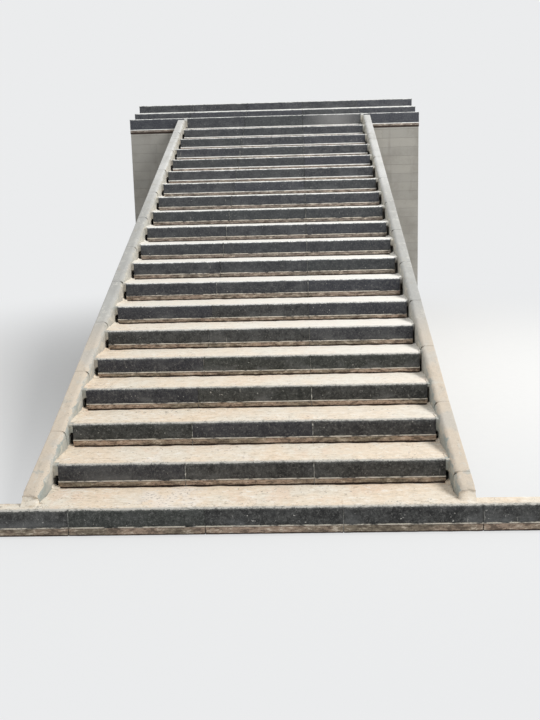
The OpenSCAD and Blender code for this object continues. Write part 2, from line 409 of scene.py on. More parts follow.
def make_tread_finish():
    """Pale trodden concrete between the stones, with dirt and painted shade in the groove at the foot of
    each course.
    """
    finish = Finish("tread_concrete", 0.93)
    noise, ease = finish.noise, finish.ease
    behind = finish.attribute("behind_nose")
    under = finish.attribute("below_top")
    to_foot = going - foot_out
    # the groove in front of the next course's foot, darkened below the top with dirt and painted shade
    groove = ease(behind, to_foot - 0.02, to_foot - 0.008) * ease(behind, to_foot + 0.008, to_foot + 0.002)
    riser_dirt = behind + (noise(0.1, 4, 0.6) - 0.5) * 0.05
    colour = finish.coats(
        dusty_concrete_and_painted_light(finish, behind),
        (ease(riser_dirt, going - 0.06, going - 0.01, 0.35), 190, 166, 138),
        (ease(under, 0.012, 0.03, 0.8), 166, 160, 149),
        (ease(under, 0.004, 0.012) * groove, 70, 54, 42),
    )
    return finish.done(colour, noise(0.008, 5, 0.7) + noise(0.06, 4, 0.6, (0.4, 1.5, 1)) * 2, 0.004, 0.5)


def make_kerb_finish():
    """Kerb concrete under warm dust, blue-grey on its inner face at the foot, with pores and smears."""
    finish = Finish("kerb_concrete", 0.9)
    noise, ease = finish.noise, finish.ease
    under = finish.attribute("under_top")
    off_joint = finish.attribute("off_joint")
    past_foot = finish.attribute("past_foot")
    patches = noise(0.5, 4, 0.6)
    waves = noise(0.11, 4, 0.6) - 0.5
    ragged = noise(0.025, 5, 0.7) - 0.5
    grain = noise(0.012, 4, 0.7)
    swept = noise(0.06, 5, 0.65, (1.2, 0.5, 1.2))
    top = finish.coats(
        srgb(209, 195, 176),
        (ease(past_foot, 1.8, 3.2), 174, 173, 168),
        (ease(past_foot, 5.8, 7.4), 208, 207, 203),
        (ease(patches, 0.46, 0.6, 0.5), 188, 187, 181),
        (ease(swept, 0.45, 0.32, 0.5), 214, 211, 201),
    )
    smear = noise(0.08, 4, 0.6, (1, 0.5, 1))
    inner = finish.coats(
        srgb(158, 164, 158),
        (ease(past_foot, 1.0, 2.2), 182, 177, 167),
        (ease(noise(0.2, 5, 0.6), 0.36, 0.64), 184, 182, 173),
        (ease(smear, 0.54, 0.6, 0.55), 213, 206, 190),
        (ease(smear, 0.43, 0.34, 0.45), 146, 153, 149),
    )
    bare_face = ease(under + waves * 0.09 + ragged * 0.03, 0.014, 0.022)
    bare_face = bare_face * ease(past_foot + ragged * 0.04, 0.012, 0.03)
    bald = ease(patches + waves * 0.3, 0.37, 0.33) * ease(past_foot, 2.2, 0.5, 0.6)
    pores = ease(noise(0.012, 2, 0.5), 0.7, 0.76)
    crack = ease(off_joint + waves * 0.004, 0.008, 0.003) * ease(under, 0.006, 0.016)
    crack = crack * ease(under + waves * 0.04, 0.09, 0.05, 0.75)
    top_crack = ease(off_joint + waves * 0.01, 0.009, 0.004) * ease(past_foot, 2.2, 3.0, 0.6)
    colour = finish.coats(
        finish.blend(bare_face, top, inner),
        (bald, 172, 177, 172),
        (ease(swept, 0.54, 0.7, 0.45), 172, 164, 149),
        (ease(grain, 0.54, 0.7, 0.4), 150, 144, 132),
        (ease(grain, 0.43, 0.3, 0.35), 238, 234, 224),
        (pores * 0.7, 96, 87, 75),
        (crack, 72, 66, 58),
        (top_crack, 96, 92, 84),
    )
    return finish.done(colour, grain + noise(0.04, 4, 0.6) * 2 - pores * 2, 0.003, 0.5)


def make_mortar_finish(name, worn, fresh):
    """Mortar, whitish where it is fresh and sandy where it is worn."""
    finish = Finish(name, 0.95)
    noise, ease = finish.noise, finish.ease
    colour = finish.coats(
        srgb(*worn),
        (ease(noise(0.03, 4, 0.6), 0.4, 0.62), *fresh),
        (ease(noise(0.2, 3, 0.5), 0.5, 0.7, 0.5), 196, 178, 154),
        (ease(noise(0.01, 3, 0.6), 0.56, 0.7, 0.5), 146, 134, 116),
    )
    return finish.done(colour, noise(0.005, 4, 0.7), 0.003, 0.6)


def make_joint_finish():
    """Mortar of the stone joints, pale where it is fresh and as dark as the stone where it is old."""
    finish = Finish("joint_mortar", 0.95)
    noise, ease = finish.noise, finish.ease
    behind = finish.attribute("behind_nose")
    old = finish.coats(srgb(44, 44, 42), (noise(0.02, 4, 0.7), 92, 91, 88))
    pale = finish.coats(srgb(112, 110, 104), (ease(noise(0.03, 4, 0.6), 0.36, 0.56), 216, 215, 208))
    colour = finish.blend(finish.attribute("fresh"), old, pale)
    dusted = finish.attribute("below_top") + (noise(0.02, 4, 0.65) - 0.5) * 0.02
    dust_and_highlight = stone_dust_and_painted_highlight(finish, behind, ease(finish.height, 0.7, 1.7))
    colour = finish.blend(ease(dusted, 0.009, 0.004), colour, dust_and_highlight)
    return finish.done(colour, noise(0.005, 4, 0.7), 0.003, 0.6)


def make_wall_finish():
    """Cast concrete with the marks of its boards, darker towards the ground."""
    finish = Finish("base_concrete", 0.9)
    noise, ease = finish.noise, finish.ease
    along = finish.across + finish.forward

    def boards(gap, softness, output):
        sockets = {
            "Vector": finish.node("ShaderNodeCombineXYZ", None, {"X": along, "Y": finish.height}),
            "Color1": srgb(0, 0, 0),
            "Color2": srgb(255, 255, 255),
            "Mortar": (0.5, 0.5, 0.5, 1),
            "Scale": 1.0,
            "Mortar Size": gap,
            "Mortar Smooth": softness,
            "Brick Width": 2.4,
            "Row Height": 0.15,
        }
        return finish.node("ShaderNodeTexBrick", {"offset": 0.37, "squash": 1.0}, sockets, output)

    board = boards(0.002, 0.3, "Color")
    gaps = boards(0.003, 0.5, "Fac")
    splash = finish.height + (noise(0.1, 3, 0.6) - 0.5) * 0.25
    pores = ease(noise(0.014, 2, 0.5), 0.7, 0.75)
    colour = finish.coats(
        srgb(158, 155, 148),
        (board * 0.5, 176, 172, 163),
        (ease(noise(0.4, 5, 0.65), 0.4, 0.65, 0.6), 140, 136, 128),
        (gaps * 0.35, 116, 112, 105),
        (ease(noise(0.12, 4, 0.6, (1, 1, 0.12)), 0.55, 0.75, 0.4), 120, 116, 108),
        (ease(splash, 0.3, 0.0, 0.5), 128, 112, 92),
        (pores * 0.6, 88, 84, 78),
    )
    return finish.done(colour, noise(0.02, 5, 0.6) - gaps * 1.5 - pores + board * 0.3, 0.004, 0.6)


stone_finish = make_stone_finish()
tread_finish = make_tread_finish()
kerb_finish = make_kerb_finish()
splash_finish = make_mortar_finish("pale_splash", (204, 203, 196), (228, 228, 223))
joint_finish = make_joint_finish()
crumb_finish = make_mortar_finish("dark_crumb", (92, 76, 60), (150, 128, 104))
wall_finish = make_wall_finish()

for name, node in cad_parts.items():
    finish = wall_finish
    if name.startswith("step_"):
        finish = stone_finish
    elif name == "treads":
        finish = tread_finish
    elif name.endswith("kerb"):
        finish = kerb_finish
    node.data.materials.clear()
    node.data.materials.append(finish)


# Modelling by hand: what is selected, moved and worn
def hold(piece):
    """Selects the piece alone."""
    bpy.ops.object.select_all(action="DESELECT")
    piece.select_set(True)
    bpy.context.view_layer.objects.active = piece


def open_mesh(piece):
    hold(piece)
    bpy.ops.object.mode_set(mode="EDIT")
    bpy.ops.mesh.select_all(action="DESELECT")


def close_mesh():
    bpy.ops.object.mode_set(mode="OBJECT")


def middle(item):
    return sum((corner.co for corner in item.verts), Vector()) / len(item.verts)


def run(edge):
    """Direction and length of an edge as one vector without sign."""
    line = edge.verts[1].co - edge.verts[0].co
    return Vector((abs(line.x), abs(line.y), abs(line.z)))


def pick(kind, wanted):
    """Selects those vertices, edges or faces of the open mesh for which wanted is true."""
    bpy.ops.mesh.select_mode(type=kind)
    bpy.ops.mesh.select_all(action="DESELECT")
    mesh = bmesh.from_edit_mesh(bpy.context.edit_object.data)
    for item in {"VERT": mesh.verts, "EDGE": mesh.edges, "FACE": mesh.faces}[kind]:
        if wanted(item):
            item.select_set(True)
    mesh.select_flush_mode()
    bmesh.update_edit_mesh(bpy.context.edit_object.data)


def cut(place, normal, **options):
    """Cuts the whole open mesh along a plane."""
    bpy.ops.mesh.select_all(action="SELECT")
    bpy.ops.mesh.bisect(plane_co=place, plane_no=normal, **options)


def divide(wanted, cuts):
    pick("EDGE", wanted)
    bpy.ops.mesh.subdivide(number_cuts=cuts)


def round_off(wanted, width, segments):
    pick("EDGE", wanted)
    bpy.ops.mesh.bevel(offset=width, segments=segments, affect="EDGES")


def extrude(wanted, way):
    pick("FACE", wanted)
    bpy.ops.mesh.extrude_region_move(TRANSFORM_OT_translate={"value": way})


def shift(wanted, way):
    pick("VERT", wanted)
    bpy.ops.transform.translate(value=way)


def squeeze(wanted, shares, pivot):
    """Brings vertices nearer to a point, down to a share of their distance in each direction."""
    pick("VERT", wanted)
    bpy.ops.transform.resize(value=shares, center_override=pivot)


def block(name, low, high):
    """A block between two corners, the start of most pieces."""
    bpy.ops.mesh.primitive_cube_add(size=1, location=(Vector(low) + Vector(high)) / 2)
    piece = bpy.context.object
    piece.name = name
    piece.scale = Vector(high) - Vector(low)
    bpy.ops.object.transform_apply(location=True, rotation=True, scale=True)
    return piece


def copy_to(model, place):
    """A copy of a model, with its own mesh, moved by a matrix that may mirror it."""
    piece = model.copy()
    piece.data = model.data.copy()
    piece.data.transform(place)
    if place.is_negative:
        piece.data.flip_normals()
    bpy.context.scene.collection.objects.link(piece)
    return piece


def remove(models):
    for model in models:
        bpy.data.objects.remove(model)


def join(name, pieces):
    bpy.ops.object.select_all(action="DESELECT")
    for piece in pieces:
        piece.select_set(True)
    bpy.context.view_layer.objects.active = pieces[0]
    if len(pieces) > 1:
        bpy.ops.object.join()
    pieces[0].name = name
    return pieces[0]


def weigh(piece, name, weight):
    """A vertex group whose weight at each vertex is worked out from its place."""
    group = piece.vertex_groups.new(name=name)
    for vertex in piece.data.vertices:
        group.add([vertex.index], max(0.0, min(1.0, weight(vertex.co))), "REPLACE")


def measure(piece, name, value):
    """A number for each vertex that a finish reads."""
    layer = piece.data.attributes.new(name, "FLOAT", "POINT")
    layer.data.foreach_set("value", [value(vertex.co) for vertex in piece.data.vertices])


def wear(piece, size, depth, group="", direction="NORMAL", contrast=1.0, lift=0.0):
    """Sinks the surface by up to the depth, in patches of about the size, or lifts it by that share."""
    texture = bpy.data.textures.new("wear", "CLOUDS")
    texture.noise_scale = size
    texture.noise_depth = 3
    texture.contrast = contrast
    texture.use_clamp = True
    modifier = piece.modifiers.new("wear", "DISPLACE")
    modifier.texture = texture
    modifier.texture_coords = "LOCAL"
    modifier.direction = direction
    modifier.strength = depth
    modifier.mid_level = 1.0 - lift
    modifier.vertex_group = group
    hold(piece)
    bpy.ops.object.modifier_apply(modifier=modifier.name)


def finish_piece(piece, finish, slot, *nodes, angle=40):
    hold(piece)
    bpy.ops.object.shade_smooth_by_angle(angle=math.radians(angle))
    piece.data.materials.clear()
    piece.data.materials.append(finish)
    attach(piece, "root")
    if nodes:
        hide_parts(*nodes)


# Wear and measures of a course, which the mortar in its joints follows
def closeness(distance, reach):
    """1 at the place itself and 0 beyond the reach."""
    return max(0.0, 1.0 - abs(distance) / reach)


def measure_course(piece, step, level):
    """How far each vertex is below a level and behind the nosing of a course."""
    measure(piece, "below_top", lambda place: level - place.z)
    measure(piece, "behind_nose", lambda place: place.y - nosings[step])


def wear_course(piece, step):
    """The wear of a course's faces and rounded arrises."""
    def near_arris(place):
        behind = place.y - nosings[step]
        under = tread_levels[step + 1] - place.z
        return closeness(behind - 0.006, 0.02) * closeness(under - 0.006, 0.02) * 1.6

    weigh(piece, "arris", near_arris)
    wear(piece, 0.14, 0.003)
    wear(piece, 0.035, 0.0018)
    wear(piece, 0.03, 0.007, "arris", contrast=1.8)


def press_back(piece, step):
    """Presses the few points that wear has pushed out of a course's box back onto its sides."""
    low, high = stone_boxes[step]
    open_mesh(piece)
    for axis, outward, limit in ((0, -1, low.x), (0, 1, high.x), (1, -1, low.y), (2, 1, high.z)):
        flat = [0 if k == axis else 1 for k in range(3)]
        pivot = [limit if k == axis else 0 for k in range(3)]
        squeeze(lambda v: (v.co[axis] - limit) * outward > 0, flat, pivot)
    close_mesh()


# Step stones
stone_models = {}


def model_stone(length, height, ledge):
    """A step stone with its nosing along Y = 0, its underside at Z = 0 and its middle at X = 0."""
    key = (round(length, 3), round(height, 3), round(ledge, 3))
    if key in stone_models:
        return stone_models[key]
    arris_width = 0.002
    end_width = 0.0015
    mesh_width = 0.018
    half = (length - stone_joint) / 2
    stone = block("stone_model", (-half, 0, 0), (half, stone_back, height))
    open_mesh(stone)
    cut((0, 0, ledge - ledge_fall), (0, 0, 1))
    shift(lambda v: v.co.y < slack and v.co.z < ledge, (0, -face_batter, 0))
    extrude(lambda f: f.normal.y < -0.9 and middle(f).z < ledge - ledge_fall, (0, -ledge_width, 0))
    shift(
        lambda v: abs(v.co.y + face_batter) < slack and abs(v.co.z - ledge + ledge_fall) < slack,
        (0, 0, ledge_fall),
    )
    round_off(
        lambda e: run(e).x > half and abs(middle(e).y) < slack and middle(e).z > height - slack,
        nose_radius,
        7,
    )
    round_off(
        lambda e: run(e).x > half and middle(e).y < slack - foot_out and middle(e).z > 0.01,
        arris_width,
        2,
    )
    round_off(
        lambda e: run(e).x < 0.0001
        and abs(middle(e).x) > half - 0.0001
        and middle(e).z > slack
        and middle(e).y < stone_back - slack,
        end_width,
        2,
    )
    divide(lambda e: run(e).x > half, max(4, round(length / mesh_width)))
    divide(
        lambda e: run(e).x < slack and run(e).z > 0.06 and middle(e).y < slack and middle(e).z > ledge, 8
    )
    divide(lambda e: run(e).x < slack and run(e).y > 0.06 and middle(e).z > height - 0.01, 7)
    divide(lambda e: run(e).x < slack and run(e).z > 0.03 and middle(e).y < 0.004 - foot_out, 5)
    close_mesh()
    stone_models[key] = stone
    return stone


def lay_course(step):
    joints = course_joints(step)
    seat = stone_seats[step]
    level = tread_levels[step + 1]
    ledge = ledge_levels[step]
    nosing = nosings[step]
    stones = []
    for left, right in zip(joints, joints[1:]):
        model = model_stone(right - left, level - seat, ledge - seat)
        stone = copy_to(model, Matrix.Translation(((left + right) / 2, nosing, seat)))
        tone = chance.random()
        measure(stone, "stone_tone", lambda place: tone)
        stones.append(stone)
    course = join(step_nodes[step] + "_stones", stones)
    on_ground = 0.007 if step == 0 else 0.0
    measure(course, "above_foot", lambda place: place.z - foot_levels[step] - on_ground)
    measure(course, "above_ledge", lambda place: place.z - ledge)
    measure_course(course, step, level)

    def near_ledge(place):
        return closeness(place.z - ledge, 0.012) * closeness(place.y - nosing + 0.01, 0.012)

    def near_end(place):
        off = min(abs(place.x - joint) for joint in joints)
        return closeness(off, 0.012) * closeness(place.y - nosing, 0.03)

    weigh(course, "ledge", near_ledge)
    weigh(course, "end", near_end)
    wear_course(course, step)
    wear(course, 0.02, 0.008, "ledge", contrast=1.5)
    wear(course, 0.018, 0.003, "end", contrast=1.6)
    if step in (0, step_count - 1):
        press_back(course, step)
    finish_piece(course, stone_finish, "step_stone", step_nodes[step])


chance = random.Random(11)
for step in range(step_count):
    lay_course(step)
remove(stone_models.values())


# Concrete of the treads
def reach_kerbs(step, half, near, groove):
    """Takes the upper part of the open tread under the kerbs, and forward at the stone ends."""
    underside = foot_levels[step + 1] - infill_thickness
    rows = [near, groove]
    cut((0, 0, underside), (0, 0, 1))
    if step > 0:
        bare_front = nosings[step] + bare_end
        rows.append(bare_front)
        for stone_end in (-flight_half, course_ends[step]):
            cut((stone_end, 0, 0), (1, 0, 0))
        extrude(
            lambda f: f.normal.y < -0.9
            and not -flight_half < middle(f).x < course_ends[step]
            and underside < middle(f).z,
            (0, bare_front - near, 0),
        )
    for side in (-1, 1):
        extrude(
            lambda f: f.normal.x * side > 0.9
            and abs(middle(f).x) > half - slack
            and middle(f).z > underside
            and middle(f).y < groove,
            (side * (seam + kerb_overlap), 0, 0),
        )
        for row in rows:
            shift(
                lambda v: v.co.x * side > half + slack and abs(v.co.y - row) < slack,
                (side * stands_out(side, row), 0, 0),
            )


def model_tread(step, groove):
    """The concrete behind one course, which falls to the foot of the next and carries its stones."""
    mesh_width = 0.026
    wide = step >= wide_from
    near = nosings[step] + stone_back + seam
    end = nosings[step + 1] + stone_back
    if step + 1 == wide_from:
        end = nosings[step + 1] - foot_out - seam
    level = tread_levels[step + 1]
    seat = stone_seats[step + 1]
    half = course_ends[step] - stone_joint / 2 if wide else kerb_low.x - seam
    bottom = stone_seats[wide_from] if wide else max(0.0, slab_top(near))
    tread = block("tread_" + step_nodes[step][-2:], (-half, near, bottom), (half, end, seat))
    open_mesh(tread)
    cut((0, groove, 0), (0, 1, 0))
    if step == 0:
        slab_start = near + (slab_drop - tread_levels[1]) / fall
        cut((0, slab_start, 0), (0, 1, 0))
    if not wide:
        slab_rise = slab_top(groove) - bottom
        shift(lambda v: v.co.z < bottom + slack and v.co.y > groove - slack, (0, 0, slab_rise))
        slab_rise = slab_top(end) - slab_top(groove)
        shift(lambda v: v.co.z < seat - 0.03 and v.co.y > end - slack, (0, 0, slab_rise))
    extrude(lambda f: f.normal.z > 0.9 and middle(f).y < groove, (0, 0, foot_levels[step + 1] - seat))
    shift(lambda v: v.co.z > seat + 0.01 and v.co.y < near + slack, (0, 0, tread_fall))
    if not wide:
        reach_kerbs(step, half, near, groove)
    divide(lambda e: run(e).x > half, round(2 * half / mesh_width))
    divide(lambda e: 0.012 < run(e).x < 0.05 and run(e).y < slack and abs(middle(e).x) > flight_half, 3)
    divide(lambda e: run(e).y > 0.2 and run(e).x < slack and middle(e).z > seat + 0.005, 14)
    divide(lambda e: 0.06 < run(e).y < 0.1 and run(e).x < slack and middle(e).z > level - slack, 4)
    divide(lambda e: run(e).z > 0.025 and run(e).y < slack and middle(e).y < near - 0.05, 3)
    close_mesh()
    return tread


def lay_tread(step):
    groove = nosings[step + 1] - foot_out - foot_groove
    tread = model_tread(step, groove)

    def on_top(place):
        return 1.0 if place.z > foot_levels[step + 1] - 0.002 else 0.0

    def at_kerb(place):
        if step >= wide_from:
            return 0.0
        inward = kerb_low.x + kerb_overlap + stands_out(place.x, place.y) - abs(place.x)
        behind_front = (place.y - nosings[step] - bare_end) / 0.12
        return on_top(place) * closeness(inward, 0.045) * max(0.15, min(1.0, behind_front))

    weigh(tread, "top", on_top)
    weigh(tread, "foot", lambda place: on_top(place) * closeness(place.y - groove, 0.05))
    weigh(tread, "kerb_side", at_kerb)
    measure_course(tread, step, foot_levels[step + 1])
    wear(tread, 0.3, 0.004, "top", "Z")
    wear(tread, 0.05, 0.002, "top", "Z")
    wear(tread, 0.11, 0.009, "foot", "Z", contrast=1.6)
    wear(tread, 0.06, 0.02, "kerb_side", "Z", contrast=1.6, lift=1.0)
    finish_piece(tread, tread_finish, "tread_concrete", "treads", angle=50)


for step in range(step_count - 1):
    lay_tread(step)


# Kerbs
def under_kerb_top(place):
    return nosing_line(place.y) + kerb_above - place.z


def measure_kerb(piece, off_joint=lambda place: 1.0):
    """How far each vertex is below the kerb's top, from its joints and past its foot."""
    measure(piece, "under_top", under_kerb_top)
    measure(piece, "off_joint", off_joint)
    measure(piece, "past_foot", lambda place: place.y - kerb_low.y)


def wear_kerb(piece):
    wear(piece, 0.2, 0.003)
    wear(piece, 0.03, 0.0016)


def model_kerb_unit(length):
    """A kerb unit with its inner face along X = 0, its foot along Y = 0 and its top at Z = 0."""
    end_width = 0.003
    mesh_width = 0.02
    unit = block("kerb_unit_model", (0, 0, -kerb_depth), (kerb_thickness, length - kerb_joint, 0))
    open_mesh(unit)
    round_off(
        lambda e: run(e).y > length / 2 and middle(e).x < slack and middle(e).z > -slack,
        kerb_inner_radius,
        10,
    )
    round_off(
        lambda e: run(e).y > length / 2 and middle(e).x > kerb_thickness - slack and middle(e).z > -slack,
        kerb_outer_radius,
        3,
    )
    round_off(lambda e: run(e).y < 0.0001, end_width, 2)
    divide(lambda e: run(e).y > length / 2, round(length / mesh_width))
    divide(lambda e: run(e).y < 0.0001 and run(e).x > 0.05, 5)
    divide(lambda e: run(e).y < 0.0001 and run(e).z > 0.15, 10)
    close_mesh()
    return unit


def model_joint_fill():
    """The mortar in a kerb joint, level with its top and set back from its inner face."""
    bite = 0.002
    fill = block(
        "joint_fill_model",
        (0.004, -bite, 0.002 - kerb_depth),
        (kerb_thickness - 0.003, kerb_joint + bite, -0.0005),
    )
    open_mesh(fill)
    round_off(
        lambda e: run(e).y > slack and middle(e).x < 0.005 and middle(e).z > -0.003,
        kerb_inner_radius + 0.007,
        8,
    )
    divide(lambda e: run(e).y < slack and run(e).length > 0.05, 8)
    divide(lambda e: run(e).y > slack, 1)
    close_mesh()
    return fill


def model_foot_mortar():
    """Mortar that slopes from a kerb's end down to the tread: back along Y = 0, inner side along X = 0."""
    reach = 0.085
    behind = 0.012
    rows = 7
    drop = nosing_line(kerb_low.y) + kerb_above - tread_levels[1] + 0.008
    mortar = block("foot_mortar_model", (-0.004, -reach, -drop), (kerb_thickness - 0.004, behind, -0.003))
    open_mesh(mortar)
    round_off(lambda e: run(e).y > reach and middle(e).x < 0.01 and middle(e).z > -0.01, drop * 0.8, 5)
    divide(lambda e: run(e).y > reach, rows - 1)
    divide(lambda e: run(e).x > 0.03, 6)
    for row in range(1, rows + 1):
        share = max(0.08, 1.0 - (row / rows) ** 0.7)
        squeeze(
            lambda v: abs(v.co.y - behind + row * (reach + behind) / rows) < slack,
            (1, 1, share),
            (0, 0, -drop),
        )
    close_mesh()
    return mortar


def kerb_foot(side):
    """The upper inner corner of a kerb's foot."""
    return Vector((side * kerb_low.x, kerb_low.y, nosing_line(kerb_low.y) + kerb_above))


def turned_out(side):
    """The turn of a kerb's lowest units, which makes their foot stand out from the line."""
    hinge = Matrix.Translation((kerb_foot(side).x, kerb_foot(side).y + splayed_run(side), 0))
    turn = Matrix.Rotation(side * math.asin(foot_splay / splayed_run(side)), 4, "Z")
    return hinge @ turn @ hinge.inverted()


def lay_foot_mortar(name, side):
    model = model_foot_mortar()
    place = turned_out(side) @ Matrix.Translation(kerb_foot(side))
    mortar = copy_to(model, place @ Matrix.Diagonal((side, 1, 1, 1)))
    remove([model])
    mortar.name = name + "_foot_mortar"
    measure(mortar, "behind_nose", lambda place: place.y - nosings[0])
    measure(mortar, "below_top", lambda place: 0.0)
    wear(mortar, 0.06, 0.007)
    wear(mortar, 0.02, 0.002)
    finish_piece(mortar, tread_finish, "tread_concrete", angle=60)


def lay_kerb(name, side):
    """The units of a kerb and the mortar in their joints, cut off at the kerb's upper end."""
    first = first_units[name]
    foot = kerb_foot(side)
    whole = math.ceil(((kerb_high.y - kerb_low.y) / math.cos(slope) - first) / kerb_unit)
    starts = [0.0] + [first + k * kerb_unit for k in range(whole + 1)]
    lengths = [first] + [kerb_unit] * (whole + 1)
    models = {length: model_kerb_unit(length) for length in set(lengths)}
    fill_model = model_joint_fill()
    units = []
    fills = []

    def place_at(distance, length):
        turn = Matrix.Identity(4)
        if side < 0:
            turn = Matrix.Translation((0, length, 0)) @ Matrix.Rotation(math.pi, 4, "Z")
        along_slope = Matrix.Translation(foot) @ Matrix.Rotation(slope, 4, "X")
        place = along_slope @ Matrix.Translation((0, distance, 0)) @ turn
        if distance * math.cos(slope) < splayed_run(side) - kerb_joint:
            place = turned_out(side) @ place
        return place

    def off_joint(place):
        distance = (place.y - foot.y) * math.cos(slope) + (place.z - foot.z) * math.sin(slope)
        return min(abs(distance + kerb_joint / 2 - start) for start in starts[1:])

    def on_edge(place):
        inward = abs(place.x) - kerb_low.x - stands_out(side, place.y)
        return closeness(inward - 0.01, 0.035) * closeness(under_kerb_top(place), 0.06)

    for start, length in zip(starts, lengths):
        if foot.y + start * math.cos(slope) < kerb_high.y - 0.02:
            units.append(copy_to(models[length], place_at(start, length - kerb_joint)))
            if start > 0:
                fills.append(copy_to(fill_model, place_at(start - kerb_joint, kerb_joint)))
    remove([*models.values(), fill_model])
    kerb = join(name + "_units", units)
    mortar = join(name + "_joints", fills)
    for piece in (kerb, mortar):
        open_mesh(piece)
        cut((0, kerb_high.y, 0), (0, 1, 0), clear_outer=True, use_fill=True)
        close_mesh()
    weigh(kerb, "edge", on_edge)
    weigh(kerb, "joint", lambda place: closeness(off_joint(place), 0.03) * min(1.0, on_edge(place) + 0.1))
    weigh(kerb, "end", lambda place: closeness(place.y - foot.y, 0.06) * closeness(place.z - foot.z, 0.05))
    measure_kerb(kerb, off_joint)
    wear_kerb(kerb)
    wear(kerb, 0.06, 0.007, "edge", contrast=1.4)
    wear(kerb, 0.02, 0.008, "joint", contrast=1.6)
    wear(kerb, 0.05, 0.022, "end")
    finish_piece(kerb, kerb_finish, "kerb_concrete", name, angle=50)
    measure_kerb(mortar)
    wear_kerb(mortar)
    finish_piece(mortar, kerb_finish, "tread_concrete", angle=50)


for name, side in (("left_kerb", -1), ("right_kerb", 1)):
    lay_kerb(name, side)
    lay_foot_mortar(name, side)


# Mortar in the joints of the stones
# how far it sits back in the lowest courses, left joint first
joint_setbacks = {
    0: (0.001, -0.0008, -0.0012, -0.0012, -0.0012),
    1: (-0.0012, -0.0016),
    2: (-0.0008, -0.0014),
    3: (0.004, -0.0008),
    4: (0.004, -0.0006),
}
usual_setbacks = (-0.001, -0.0004, 0.004, 0.004)
# how pale it is where it isn't fresh, by course and joint, left joint first
aged_joints = {(0, 1): 0.5, (0, 2): 0.0, (0, 3): 0.7, (0, 4): 0.0}


def freshness(step, joint):
    """How pale the mortar of a joint is: fresh in the lowest courses, older further up."""
    return aged_joints.get((step, joint), 1.0 if step < 5 else 0.65 if step < 12 else 0.4)


def model_joint_ribbon(height):
    """Mortar in a joint, from the foot up to the top and back over the stone, wider than the joint."""
    half = 0.005
    front = 0.0006
    ribbon = block("joint_ribbon_model", (-half, front, 0.001), (half, stone_back - 0.003, height + 0.0003))
    open_mesh(ribbon)
    shift(lambda v: v.co.y < 0.01 and v.co.z < height - 0.01, (0, -face_batter, 0))
    round_off(
        lambda e: run(e).x > half and middle(e).y < 0.01 and middle(e).z > height - 0.01, nose_radius, 6
    )
    divide(lambda e: run(e).z > 0.08 and middle(e).y < 0.02, 22)
    divide(lambda e: run(e).y > 0.08 and middle(e).z > height - 0.01, 16)
    divide(lambda e: run(e).x > half, 4)
    close_mesh()
    return ribbon


def fill_joints(step):
    """Thin mortar that has broken away in places, deeper in the joints where little of it is left."""
    level = tread_levels[step + 1]
    seat = stone_seats[step]
    model = model_joint_ribbon(level - seat)
    ribbons = []
    for k, joint in enumerate(course_joints(step)[1:-1]):
        known = joint_setbacks.get(step)
        setback = known[k] if known else chance.choice(usual_setbacks)
        ribbon = copy_to(model, Matrix.Translation((joint, nosings[step] + setback, seat)))
        fresh = freshness(step, k)
        measure(ribbon, "fresh", lambda place: fresh)
        ribbons.append(ribbon)
    remove([model])
    fill = join("joint_mortar_" + step_nodes[step][-2:], ribbons)
    measure_course(fill, step, level)

    def on_face(place):
        return closeness(place.y - nosings[step], 0.012) * min(1.0, (level - place.z) / 0.02)

    weigh(fill, "face", on_face)
    wear_course(fill, step)
    wear(fill, 0.035, 0.009, "face", contrast=2.2, lift=0.3)
    if step == step_count - 1:
        press_back(fill, step)
    finish_piece(fill, joint_finish, "tread_concrete", angle=50)


for step in range(step_count):
    fill_joints(step)


# Mortar between the stone ends and the kerbs
gap_width = kerb_low.x + kerb_overlap - flight_half + stone_joint / 2
# length of the mortar at the right end of each course as a share of its usual length
right_lengths = {1: 1.1, 2: 1.3, 3: 0.4, 9: 0.9, 10: 0.6, 15: 0.9, 16: 1.2, 17: 1.3, 18: 1.3}
right_lengths.update(dict.fromkeys(range(4, 9), 0.0))


def model_gap_plug():
    """The upper mortar of a gap: front along Y = 0, stone side along X = 0, top at Z = 0."""
    height = 0.12
    columns = 7
    plug = block("gap_plug_model", (-0.002, 0, -height), (gap_width, 0.075, 0))
    open_mesh(plug)
    round_off(lambda e: run(e).x > 0.01 and middle(e).y < slack and middle(e).z > -slack, 0.014, 4)
    round_off(lambda e: run(e).x > 0.01 and middle(e).y < slack and middle(e).z < slack - height, 0.02, 3)
    divide(lambda e: run(e).x > 0.01, columns - 1)
    for column in range(columns):
        reach = gap_width * (1 - (column + 0.5) / columns)
        shift(lambda v: v.co.z < 0.03 - height and v.co.x < reach, (0, 0, 0.008))
    divide(lambda e: run(e).z > 0.02 and run(e).x < slack and middle(e).y < slack, 8)
    divide(lambda e: run(e).y > 0.03 and middle(e).z > -slack, 5)
    close_mesh()
    return plug


def model_gap_mound():
    """The mortar at the foot of a gap: back along Y = 0, stone side along X = 0, foot at Z = 0."""
    mound = block("gap_mound_model", (-0.012, -0.09, -0.01), (gap_width, 0, 0.034))
    open_mesh(mound)
    round_off(lambda e: run(e).x > 0.01 and middle(e).y < -0.08 and middle(e).z > 0.03, 0.033, 4)
    divide(lambda e: run(e).x > 0.01, 6)
    for column in range(4):
        reach = gap_width * (0.9 - column * 0.22)
        squeeze(lambda v: v.co.z > 0.0 and v.co.x < reach, (1, 1, 0.72), (0, 0, 0))
    divide(lambda e: run(e).y > 0.03 and middle(e).z > slack, 5)
    close_mesh()
    return mound


